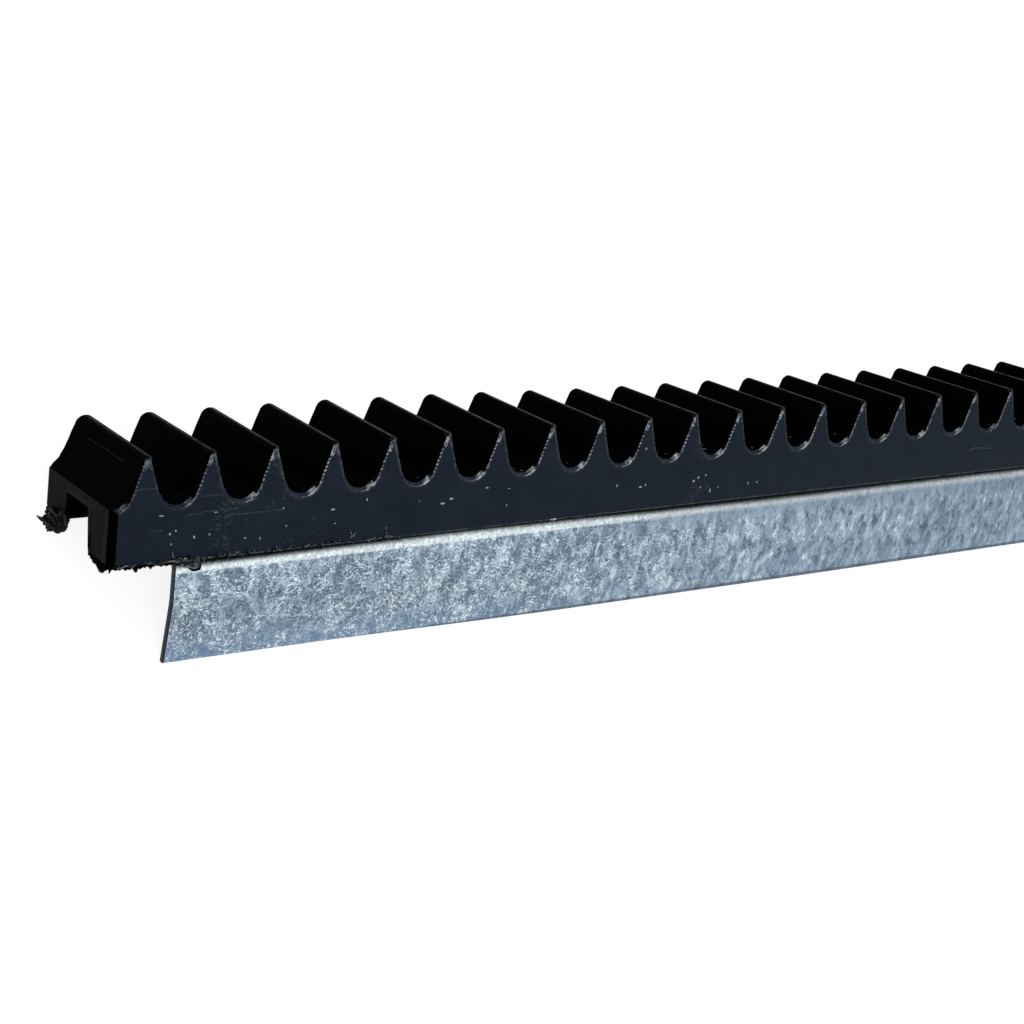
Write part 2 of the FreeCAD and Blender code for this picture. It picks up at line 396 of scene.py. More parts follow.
def sawnMaterial():
    # saw lines that run down, with a lighter front corner and a lighter strip above the channel
    material, tree, inBar = newMaterial("sawn plastic end")
    split = splitXyz(tree, inBar)
    lines = noise(tree, stretched(tree, inBar, (1.0, 1.0, 0.05)), 1.6, 4.0, 0.65)
    band = times(tree, ramp(tree, lines, 0.48, 0.64), ramp(tree, split["Y"], 22.0, 6.0, 0.35, 1.0))
    corner = ramp(tree, distance(tree, split["Y"], 1.9), 0.45, 0.15)
    aboveSlot = times(tree, ramp(tree, distance(tree, split["Z"], -10.8), 0.6, 0.3),
                      ramp(tree, distance(tree, split["Y"], 12.0), 6.0, 4.5, 0.0, 0.8))
    band = largest(tree, band, corner, aboveSlot)
    colour = mixColour(tree, band, plasticLook["sawn"], plasticLook["sawnLight"])
    return finishMaterial(material, colour, 0.55, (lines, 0.5, 0.15), Specular_IOR_Level=0.018)


def tornMaterial(name, fromLevel, light):
    # torn plastic whitens where it was stretched
    material, tree, inBar = newMaterial(name)
    streaks = noise(tree, stretched(tree, inBar, (0.7, 1.0, 2.4), (0, 0.3, 0)), 1.1, 3.0, 0.6, 0.6)
    pale = ramp(tree, streaks, fromLevel, fromLevel + 0.12)
    colour = mixColour(tree, pale, plasticLook["torn"], light)
    return finishMaterial(material, colour, 0.5, (streaks, 0.4, 0.15), Specular_IOR_Level=0.05)


def spinOn(bm, vert, centre, degrees, steps, axis=(0, 1, 0)):
    before = set(bm.edges)
    spun = bmesh.ops.spin(bm, geom=[vert], cent=centre, axis=axis, angle=math.radians(degrees), steps=steps)
    return vertsOf(spun["geom_last"])[0], [edge for edge in bm.edges if edge not in before]


def lineOn(bm, vert, step):
    grown = bmesh.ops.extrude_vert_indiv(bm, verts=[vert])
    bmesh.ops.translate(bm, verts=grown["verts"], vec=step)
    return grown["verts"][0], grown["edges"]


def valueAt(points, x):
    # eases from one (x, value) pair of the list to the next
    for (fromX, low), (toX, high) in zip(points, points[1:]):
        if x <= toX:
            part = max(0, (x - fromX) / (toX - fromX))
            return low + (high - low) * part * part * (3 - 2 * part)
    return 0


def toothLine(bm, y, inset, crestRadius=rack["crestRadius"]):
    # one tooth's outline from gap to gap, centred on x = 0, cut back by inset
    slope = math.radians(rack["flankAngle"])
    sine, cosine = math.sin(slope), math.cos(slope)
    half = (rack["pitch"] - rack["crestFlat"]) / 2
    radius = (half * cosine - crestRadius * (1 - sine) - rack["rootDepth"] * sine) / (1 - sine)
    gapX = -rack["pitch"] / 2
    crestX = -rack["crestFlat"] / 2
    start = bmesh.ops.create_vert(bm, co=(gapX, y, -rack["rootDepth"] - inset))["vert"][0]
    sweep = 90 - rack["flankAngle"]
    vert, rootEdges = spinOn(bm, start, (gapX, y, radius - rack["rootDepth"]), -sweep, rack["rootSteps"])
    rootEnd = Vector((gapX + radius * cosine, y, radius * (1 - sine) - rack["rootDepth"]))
    crestStart = Vector((crestX - crestRadius * cosine, y, crestRadius * (sine - 1)))
    vert, flankEdges = lineOn(bm, vert, crestStart - rootEnd)
    top, crestEdges = spinOn(bm, vert, (crestX, y, -crestRadius), sweep, rack["crestSteps"])
    _, flatEdges = lineOn(bm, top, (-crestX, 0, 0))
    cut = bmesh.ops.subdivide_edges(bm, edges=flankEdges, cuts=rack["flankCuts"])
    flankVerts = sorted(set(vertsOf(cut["geom_inner"])), key=lambda v: v.co.z)
    line = set(rootEdges + crestEdges + flatEdges) | {e for v in flankVerts for e in v.link_edges}
    parts = list(line) + list({v for e in line for v in e.verts})
    bmesh.ops.mirror(bm, geom=parts, axis="X", merge_dist=0.001)
    return flankVerts


def ringPeak(inset):
    # the height where the two flanks meet once they are moved in by inset
    slope = math.radians(rack["flankAngle"])
    x = (inset - rack["crestRadius"]) * math.cos(slope) - rack["crestFlat"] / 2
    z = rack["crestRadius"] * (math.sin(slope) - 1) - inset * math.sin(slope)
    return z - x / math.tan(slope)


def wireNear(bm, y):
    return [e for e in bm.edges if all(abs(v.co.y - y) < 0.05 for v in e.verts)]


def toothSkin(bm):
    # the tooth's outlines from front to rear, joined into one surface
    rim, rearRim, width = rack["rim"], rack["rearRim"], rack["width"]
    half = rack["pitch"] / 2
    ring = rim + rack["faceRing"]
    toothLine(bm, rack["ringY"], ring)
    peak = ringPeak(ring)
    for vert in bm.verts:
        if vert.co.z > peak:
            vert.co = (0, rack["ringY"], peak)
    for y, inset in ((0, rim), (rack["rimStep"], rim - rack["rimStep"])):
        for index, vert in enumerate(toothLine(bm, y, inset)):
            side = rack["scallop"] if index % 2 else -rack["scallop"]
            bmesh.ops.translate(bm, verts=[vert], vec=(side, 0, 0))
    toothLine(bm, rim, 0)
    for y, inset in ((width - rearRim, 0), (width, rearRim)):
        toothLine(bm, y, inset, rack["rearRadius"])
    for vert in bm.verts:
        fromGap = half - abs(vert.co.x)
        if vert.co.y > width - 1 and fromGap < half - 0.05:
            fuller = valueAt(rack["rearFull"], vert.co.z)
            vert.co.x = math.copysign(half - max(fromGap - fuller, fromGap * rack["gapKept"]), vert.co.x)
    lines = [wireNear(bm, y) for y in (rack["ringY"], 0, rack["rimStep"], rim, width - rearRim, width)]
    for front, rear in zip(lines, lines[1:]):
        bmesh.ops.bridge_loops(bm, edges=front + rear)
    bmesh.ops.remove_doubles(bm, verts=bm.verts, dist=0.001)


def fillWalls(bm):
    # the front and rear faces, each from its tooth line down to its foot
    half, width = rack["pitch"] / 2, rack["width"]
    walls = [(-rack["lipDepth"], wireNear(bm, rack["ringY"])), (-rack["rearHeight"], wireNear(bm, width))]
    bmesh.ops.translate(bm, verts=[v for v in bm.verts if v.co.y < 0], vec=(0, -rack["ringY"], 0))
    for bottom, line in walls:
        ends = [v for e in line for v in e.verts if abs(abs(v.co.x) - half) < 0.001]
        loop = list(line)
        feet = []
        for end in dict.fromkeys(ends):
            foot, edges = lineOn(bm, end, (0, 0, bottom - end.co.z))
            feet.append(foot)
            loop += edges
        loop.append(bmesh.ops.contextual_create(bm, geom=feet)["edges"][0])
        for face in bmesh.ops.edgeloop_fill(bm, edges=loop)["faces"]:
            face.material_index = 0
    draft = Matrix.Identity(4)
    draft[1][2] = -rack["rearDraft"] / rack["rearHeight"]
    rearVerts = [v for v in bm.verts if v.co.y > width - rack["rearRim"] - 0.01]
    bmesh.ops.transform(bm, matrix=draft, verts=rearVerts)


def drawChannel(bm):
    # the lip, the channel and the feet of both walls, drawn back from the front face's lower edge
    edges = [e for e in bm.edges if all(v.co.y == 0 and v.co.z < -rack["frontHeight"] for v in e.verts)]
    y, z = 0, -rack["lipDepth"]
    lip = [(rack["lipSheet"], z), (rack["lipSheet"] + 0.1, -rack["frontHeight"])]
    for nextY, nextZ in lip + rack["channel"]:
        grown = bmesh.ops.extrude_edge_only(bm, edges=edges)["geom"]
        # the channel takes the plastic painted as in shade
        for face in (f for f in grown if isinstance(f, bmesh.types.BMFace)):
            face.material_index = 1
        verts = vertsOf(grown)
        bmesh.ops.translate(bm, verts=verts, vec=(0, nextY - y, nextZ - z))
        edges = [e for e in edgesOf(grown) if all(v in verts for v in e.verts)]
        y, z = nextY, nextZ
    bmesh.ops.remove_doubles(bm, verts=bm.verts, dist=0.002)


def toothedUnit():
    # one pitch of the bar, open at both sides
    bm = bmesh.new()
    toothSkin(bm)
    shine = bm.faces.layers.float.new("shine")
    markRims(bm, shine)
    fillWalls(bm)
    drawChannel(bm)
    footEdges = [e for e in bm.edges if len(e.link_faces) == 2 and e.verts[0].co.z < -rack["rootDepth"] - 1
                 and abs(e.verts[0].co.x - e.verts[1].co.x) > rack["pitch"] / 2]
    bmesh.ops.bevel(bm, geom=footEdges, offset=rack["footBevel"], segments=2, profile=0.5, affect="EDGES",
                    material=-1)
    return bm


rimShine = {
    "rootTop": -7.0,           # z where the flanks start
    "flankTop": -0.75,         # and where the crest does
    "crestLine": (1.0, -0.2, -0.3, 0.5),   # the thin line along each crest: level, lowest z, from x, to x
    "ringRoot": 0.02,
    "ringLeft": (-2.7, 0.5, 0.0),      # z, level above it and level below it
    "ringRight": (-2.5, 0.10, 0.05),
    "rootLine": (0.08, 0.04),          # outer part, inner part
    "rootGlint": (37, 38, 18),         # degrees up the root, and how far it reaches outside and inside
    "rootBlotches": (50, 0.3, 0.6),    # from these degrees on, by turns
    "rootDark": 52,                    # the inner part takes the plastic painted as in shade from here
    "rootCentre": -6.0,                # z that these degrees turn about
    "dotted": 6.5,                     # length of a flank that is dotted
    "tipFoot": -2.3,
    "left": (0.9, 0.72, 0.06),         # tip, dot, between the dots
    "right": 0.24,
    "crestRight": (0.35, 0.8),
    "crestLeft": 0.12,
    "dotsZ": (-7.9, -2.4),
    "dotsFade": (150, 40, 0.45),       # x where the dots start to run together, over how far, to what
    "faint": 0.03,
    "vary": (0.65, 1.0),
}


def rootShine(rise, outer):
    start, *levels = rimShine["rootBlotches"]
    if outer and rise > start:
        faceSweep = (90 - rack["flankAngle"]) / rack["rootSteps"]
        return levels[int(rise / faceSweep) % 2]
    middle, outerReach, innerReach = rimShine["rootGlint"]
    reach = outerReach if outer else innerReach
    return max(1 - abs(rise - middle) / reach, rimShine["rootLine"][not outer])


def rimLook(centre):
    # whether a rim's face is skin (0) or plastic painted as in shade (1), and how much painted highlight it
    # gets
    left, outer = centre.x < 0, centre.y < rack["rimStep"]
    root, crest = centre.z < rimShine["rootTop"], centre.z > rimShine["flankTop"]
    if centre.y > rack["width"] - rack["rearRim"]:
        return 1, 0.0
    if centre.y < 0:
        height, above, below = rimShine["ringLeft" if left else "ringRight"]
        return 0, rimShine["ringRoot"] if root else above if centre.z > height else below
    if centre.y > rack["rim"]:
        level, lowest, fromX, toX = rimShine["crestLine"]
        return 1, level if centre.z > lowest and fromX < centre.x < toX else 0.0
    if root:
        fromGap = centre.x + rack["pitch"] / 2
        rise = math.degrees(math.atan2(fromGap, rimShine["rootCentre"] - centre.z)) if left else 0
        return 0 if outer or rise < rimShine["rootDark"] else 1, rootShine(rise, outer)
    if crest:
        right = rimShine["crestRight"][not outer]
        return 0 if outer else 1, right if centre.x > 0.15 else rimShine["crestLeft"]
    if not outer:
        return 1, 0.0
    if not left:
        return 0, rimShine["right"]
    tip, dot, between = rimShine["left"]
    number = round((centre.z - rimShine["rootTop"]) / rimShine["dotted"] * (rack["flankCuts"] + 1))
    return 0, tip if centre.z > rimShine["tipFoot"] else dot if number % 2 else between


def markRims(bm, shine):
    # painted highlights on the rims: dotted up the left flank, streaked low in the root, thin along the crest
    for face in bm.faces:
        face.material_index, face[shine] = rimLook(face.calc_center_median())


def cutEnds(bm):
    # closes both sawn ends and takes off their front corners
    openEdges = [e for e in bm.edges if e.is_boundary]
    for face in bmesh.ops.holes_fill(bm, edges=openEdges, sides=0)["faces"]:
        face.material_index = 2
    for x, side in ((0, -1), (barLength, 1)):
        near = [f for f in bm.faces if any(abs(v.co.x - x) < 3 for v in f.verts)]
        parts = near + list({e for f in near for e in f.edges}) + list({v for f in near for v in f.verts})
        bmesh.ops.bisect_plane(bm, geom=parts, plane_co=(x - side * rack["cornerCut"], 0, 0),
                               plane_no=Vector((side, -1, 0)).normalized(), clear_outer=True)
        openEdges = [e for e in bm.edges if e.is_boundary]
        # the corner cuts take the plastic painted as in shade
        for face in bmesh.ops.holes_fill(bm, edges=openEdges, sides=0)["faces"]:
            face.material_index = 1


def twistBar(bm):
    # fills out the first flank at the rear and lifts or drops the rear of the teeth
    rootZ = -rack["rootDepth"] - 0.2
    for vert in bm.verts:
        if vert.co.y > rack["width"] - 1 and vert.co.x < rack["pitch"] * 0.4 and rootZ < vert.co.z < 0:
            fuller = valueAt(rack["firstFull"], vert.co.z)
            vert.co.x = max(vert.co.x - fuller, vert.co.x * rack["gapKept"])
        toRear = vert.co.y / rack["width"]
        aboveFoot = min(max((vert.co.z + rack["rearHeight"]) / rack["twistFoot"], 0), 1)
        vert.co.z += valueAt(rack["twist"], vert.co.x) * toRear * aboveFoot


def varyShine(bm):
    # no two rims shine alike, and the dots run together from about the twelfth tooth on
    shine = bm.faces.layers.float["shine"]
    chance = random.Random(4)
    lowest, highest = rimShine["dotsZ"]
    fadeX, fadeLength, level = rimShine["dotsFade"]
    for face in bm.faces:
        centre = face.calc_center_median()
        leftFlank = centre.x % rack["pitch"] < rack["pitch"] / 2 and lowest < centre.z < highest
        if leftFlank and centre.y < rack["rimStep"] and face[shine] > rimShine["faint"]:
            face[shine] += (level - face[shine]) * min(max((centre.x - fadeX) / fadeLength, 0), 1)
        face[shine] *= chance.uniform(*rimShine["vary"])


def toothedBar(materials):
    bm = toothedUnit()
    unit = list(bm.verts) + list(bm.edges) + list(bm.faces)
    bmesh.ops.translate(bm, verts=bm.verts, vec=(rack["pitch"] / 2, 0, 0))
    for number in range(1, rack["teeth"]):
        copy = bmesh.ops.duplicate(bm, geom=unit)["geom"]
        bmesh.ops.translate(bm, verts=vertsOf(copy), vec=(number * rack["pitch"], 0, 0))
    bmesh.ops.remove_doubles(bm, verts=bm.verts, dist=0.004)
    bmesh.ops.recalc_face_normals(bm, faces=bm.faces)
    cutEnds(bm)
    twistBar(bm)
    bmesh.ops.recalc_face_normals(bm, faces=bm.faces)
    varyShine(bm)
    markSharp(bm, 30)
    finishPiece(bm, "toothed_bar", materials, "toothed_rack")


plastics = [skinMaterial(), gapMaterial(), sawnMaterial()]
toothedBar(plastics)

strip = {
    "sheet": 0.9,
    "setback": 12.65,
    "spans": 60,           # pieces along its length, so that it can bend a little
    "legHeight": 18.3,
    # x, how far the leg's foot stands out
    "flare": [(0, -0.2), (35, -0.1), (110, 0.7), (180, 0.9), (330, 0.9), (600, 0)],
    "foldRadius": 1.8,
    "curlRadius": 12.0,
    "curlStart": -26.4,
    "curlSweep": 8.85,
    "footEnd": -39.6,
    "rollOver": (0.38, 0.12),   # the sheared ends' rounded corner: how far in, how deep
    "innerFold": 0.4,
    "innerY": 8.5625,
    "innerTop": -14.0,
}
zincLook = {
    "dark": (0.075, 0.110, 0.145, 1),
    "middle": (0.237, 0.320, 0.402, 1),
    "light": (0.60, 0.68, 0.72, 1),
    # bluish darker colour painted on the lower leg as its reflection of darker surroundings
    "low": (0.13, 0.21, 0.335, 1),
    # painted highlight colours of the fold's bright band, near the left end and further on
    "bend": (0.70, 0.78, 0.80, 1),
    "bendFar": (0.44, 0.50, 0.53, 1),
    "shards": [(2.1, 0.6, -0.6, 0.20), (1.15, 0.5, 0.7, 0.24)],  # size, squeeze, turn, lightness
    "longFrom": (90.0, 210.0),              # x over which the flakes grow long
    "calmZ": (-26.0, -22.5),                # z over which the spangle calms towards the fold
    # edges of the painted highlight band on the fold
    "bendX": (90.0, 170.0),                 # x over which the bright band's lower edge softens,
    "bendLow": (-21.95, -22.35),            # and the z where it starts to fade in, near and far,
    "bendHigh": (-21.45, -21.15),           # and where it is whole
    "shadowZ": (-20.88, -19.70),
    "footZ": (-39.38, -39.52),
    "shadow": (0.002, 0.0025, 0.003, 1),
    "edge": (0.010, 0.016, 0.028, 1),
    "edgeLight": (0.05, 0.07, 0.10, 1),
}


def shardMask(tree, warp, inBar, size, squeeze, turn):
    # flat angular crystals, a bit under half of them pale
    place = stretched(tree, pushed(tree, inBar, warp, 0.5), (1.0, 1.0, squeeze), (0, turn, 0))
    cells = addNode(tree, "TexVoronoi", {"distance": "CHEBYCHEV"}, Vector=place, Scale=1 / size,
                    Randomness=1.0)
    return ramp(tree, splitColour(tree, cells.outputs["Color"])[0], 0.54, 0.66)


def zincTone(tree, inBar, along, up):
    # how light the zinc is: fine curls near the left end, long flakes further on, flat crystals over both
    warp = addNode(tree, "TexNoise", Vector=inBar, Scale=0.9, Detail=2.0).outputs["Color"]
    warped = pushed(tree, inBar, warp, 1.2)
    flakes = addNode(tree, "TexVoronoi", Vector=warped, Scale=0.36, Randomness=1.0)
    cell = splitColour(tree, flakes.outputs["Color"])
    curls = noise(tree, inBar, 1.15, 2.0, 0.6, 1.8)
    feather = noise(tree, stretched(tree, inBar, (1.0, 1.0, 2.6), (0, 0.6, 0)), 1.0, 2.0, 0.6, 1.0)
    longFlakes = noise(tree, stretched(tree, warped, (1.0, 1.0, 0.42), (0, 0.45, 0)), 0.85, 2.0, 0.55, 0.8)
    crystal = mixColour(tree, maths(tree, "GREATER_THAN", cell[1], 0.5), feather, curls)
    crystal = mixColour(tree, ramp(tree, along, *zincLook["longFrom"], 0.0, 0.85), crystal, longFlakes)
    fineDull = noise(tree, warped, 1.25, 2.0, 0.6, 1.6)
    coarseDull = noise(tree, stretched(tree, warped, (1.0, 1.0, 0.5), (0, -0.4, 0)), 0.7, 2.0, 0.6, 1.0)
    dull = mixColour(tree, ramp(tree, along, *zincLook["longFrom"], 0.0, 0.8), fineDull, coarseDull)
    strokes = minus(tree, times(tree, ramp(tree, crystal, 0.50, 0.62), 0.55),
                    times(tree, ramp(tree, dull, 0.50, 0.39), 0.50))
    busy = times(tree, ramp(tree, noise(tree, inBar, 0.22, 2.0), 0.36, 0.54, 0.55, 1.25),
                 ramp(tree, along, 70.0, 190.0, 0.88, 0.36))
    shards = [times(tree, shardMask(tree, warp, inBar, *shape), light)
              for *shape, light in zincLook["shards"]]
    pale = times(tree, minus(tree, plus(tree, *shards), 0.17), ramp(tree, along, 15.0, 90.0, 0.75, 1.0),
                 ramp(tree, along, 150.0, 225.0, 1.0, 0.6))
    tone = plus(tree, times(tree, strokes, busy), times(tree, minus(tree, cell[0], 0.5), 0.18), pale)
    calm = times(tree, ramp(tree, up, *zincLook["calmZ"]), ramp(tree, along, 80.0, 150.0, 0.2, 0.6))
    tone = times(tree, tone, minus(tree, 1.0, calm))
    tone = plus(tree, tone, ramp(tree, along, 110.0, 270.0, 0.42, 0.34),
                ramp(tree, up, -28.0, -23.0, 0.0, -0.06))
    return crystal, tone


def zincBend(tree, inBar, along, up, crystal, tone):
    # the painted highlight band on the fold: how much of it there is, and its colour
    uneven = plus(tree, up, times(tree, noise(tree, inBar, 0.9, 3.0, 0.6, 0.8), 0.6))
    fadeLow = ramp(tree, along, *zincLook["bendX"], *zincLook["bendLow"])
    fadeHigh = ramp(tree, along, *zincLook["bendX"], *zincLook["bendHigh"])
    broken = ramp(tree, plus(tree, crystal, times(tree, tone, 0.1)), 0.36, 0.60, 0.55, 1.0)
    colour = mixColour(tree, ramp(tree, along, 95.0, 160.0), zincLook["bend"], zincLook["bendFar"])
    mottle = ramp(tree, noise(tree, inBar, 1.5, 3.0, 0.65, 0.6), 0.40, 0.62, 0.72, 1.04)
    grey = addNode(tree, "CombineColor", in0=mottle, in1=mottle, in2=mottle).outputs[0]
    amount = times(tree, ramp(tree, uneven, fadeLow, fadeHigh), broken)
    return amount, mixColour(tree, 1.0, colour, grey, "MULTIPLY")


def lipShadow(tree, inBar, along, up):
    # the dark line under the plastic's lip, ragged, and thinner for a stretch near the left end
    ragged = plus(tree, up, times(tree, noise(tree, inBar, 1.6, 2.0), 0.3),
                  times(tree, noise(tree, inBar, 0.035, 1.0), 0.7))
    thinner = times(tree, ramp(tree, along, 30.0, 62.0), ramp(tree, along, 120.0, 85.0, 0.0, 0.25))
    return ramp(tree, minus(tree, ragged, thinner), *zincLook["shadowZ"])


def zincMaterial():
    material, tree, inBar = newMaterial("spangled zinc")
    split = splitXyz(tree, inBar)
    along, up = split["X"], split["Z"]
    crystal, tone = zincTone(tree, inBar, along, up)
    colour = mixColour(tree, ramp(tree, tone, 0.0, 0.5), zincLook["dark"], zincLook["middle"])
    colour = mixColour(tree, ramp(tree, tone, 0.45, 1.0), colour, zincLook["light"])
    # painted reflection: the lower leg turns bluer and darker towards its foot, most near the left end
    low = times(tree, ramp(tree, up, -32.0, -39.5, 0.0, 0.95), ramp(tree, along, 140.0, 40.0, 0.3, 1.0))
    colour = mixColour(tree, low, colour, mixColour(tree, tone, zincLook["low"], colour))
    onBend, bend = zincBend(tree, inBar, along, up, crystal, tone)
    colour = mixColour(tree, onBend, colour, bend)
    colour = mixColour(tree, lipShadow(tree, inBar, along, up), colour, zincLook["shadow"])
    colour = mixColour(tree, ramp(tree, up, *zincLook["footZ"], 0.0, 0.7), colour, zincLook["edgeLight"])
    height = plus(tree, tone, times(tree, noise(tree, inBar, 3.0, 2.0), 0.3))
    rough = ramp(tree, tone, 0.0, 1.0, 0.5, 0.36)
    return finishMaterial(material, colour, rough, (height, 0.15, 0.1), Metallic=0.75)


def cutSteelMaterial():
    material, tree, inBar = newMaterial("sheared steel edge")
    grain = noise(tree, stretched(tree, inBar, (1.0, 4.0, 1.0)), 1.5, 2.0)
    colour = mixColour(tree, ramp(tree, grain, 0.5, 0.75), zincLook["edge"], zincLook["edgeLight"])
    return finishMaterial(material, colour, 0.5, (grain, 0.3, 0.1), Metallic=0.3, Specular_IOR_Level=0.2)


def keepOffFloor(bm, gap):
    toWorld = leanTurn.to_3x3()
    for vert in bm.verts:
        height = (toWorld @ vert.co).z + shift.z / millimetre
        if height < gap:
            vert.co += toWorld.inverted() @ Vector((0, 0, gap - height))


def stripLine(bm, x):
    # the folded sheet's outline, from the curled foot round the fold to the inner leg's top
    fold, inner = strip["foldRadius"], strip["innerFold"]
    flange = -rack["frontHeight"]
    start = bmesh.ops.create_vert(bm, co=(x, 0, strip["curlStart"]))["vert"][0]
    curl = (x, strip["curlRadius"], strip["curlStart"])
    bent, _ = spinOn(bm, start, curl, strip["curlSweep"], 6, (1, 0, 0))
    drop = strip["footEnd"] - bent.co.z
    lineOn(bm, bent, (0, -drop * math.tan(math.radians(strip["curlSweep"])), drop))
    vert, _ = lineOn(bm, start, (0, 0, flange - fold - strip["curlStart"]))
    vert, _ = spinOn(bm, vert, (x, fold, flange - fold), -90, 8, (1, 0, 0))
    vert, _ = lineOn(bm, vert, (0, strip["innerY"] - inner - vert.co.y, 0))
    vert, _ = spinOn(bm, vert, (x, vert.co.y, flange + inner), 90, 4, (1, 0, 0))
    lineOn(bm, vert, (0, 0, strip["innerTop"] - vert.co.z))


def steelStrip(materials):
    bm = bmesh.new()
    x = strip["setback"]
    stripLine(bm, x)
    edges = list(bm.edges)
    corner, cornerDepth = strip["rollOver"]
    span = (barLength - 2 * x - 2 * corner) / strip["spans"]
    for step in [corner] + [span] * strip["spans"] + [corner]:
        grown = bmesh.ops.extrude_edge_only(bm, edges=edges)["geom"]
        verts = vertsOf(grown)
        bmesh.ops.translate(bm, verts=verts, vec=(step, 0, 0))
        edges = [e for e in edgesOf(grown) if all(v in verts for v in e.verts)]
    bmesh.ops.recalc_face_normals(bm, faces=bm.faces)
    bmesh.ops.solidify(bm, geom=bm.faces, thickness=strip["sheet"])
    bmesh.ops.recalc_face_normals(bm, faces=bm.faces)
    alongFloor = leanTurn.to_3x3().inverted() @ Vector((0, -1, 0))
    foldEnd = -rack["frontHeight"] - strip["foldRadius"]
    for vert in bm.verts:
        belowFold = max((foldEnd - vert.co.z) / strip["legHeight"], 0)
        vert.co += alongFloor * valueAt(strip["flare"], vert.co.x) * belowFold
    ends = (x, barLength - x)
    outerEnds = [v for v in bm.verts if min(abs(v.co.x - end) for end in ends) < 0.01
                 and v.co.z < foldEnd and any(f.normal.y < -0.9 for f in v.link_faces)]
    bmesh.ops.translate(bm, verts=outerEnds, vec=(0, cornerDepth, 0))
    for face in bm.faces:
        centre = face.calc_center_median()
        atEnd = min(abs(centre.x - end) for end in ends) < corner
        if abs(face.normal.x) > 0.9 or atEnd and face.normal.y < -0.3:
            face.material_index = 1
    keepOffFloor(bm, 0.0)
    markSharp(bm, 40)
    finishPiece(bm, "galvanised_strip", materials, "steel_strip")


steelStrip([zincMaterial(), cutSteelMaterial()])

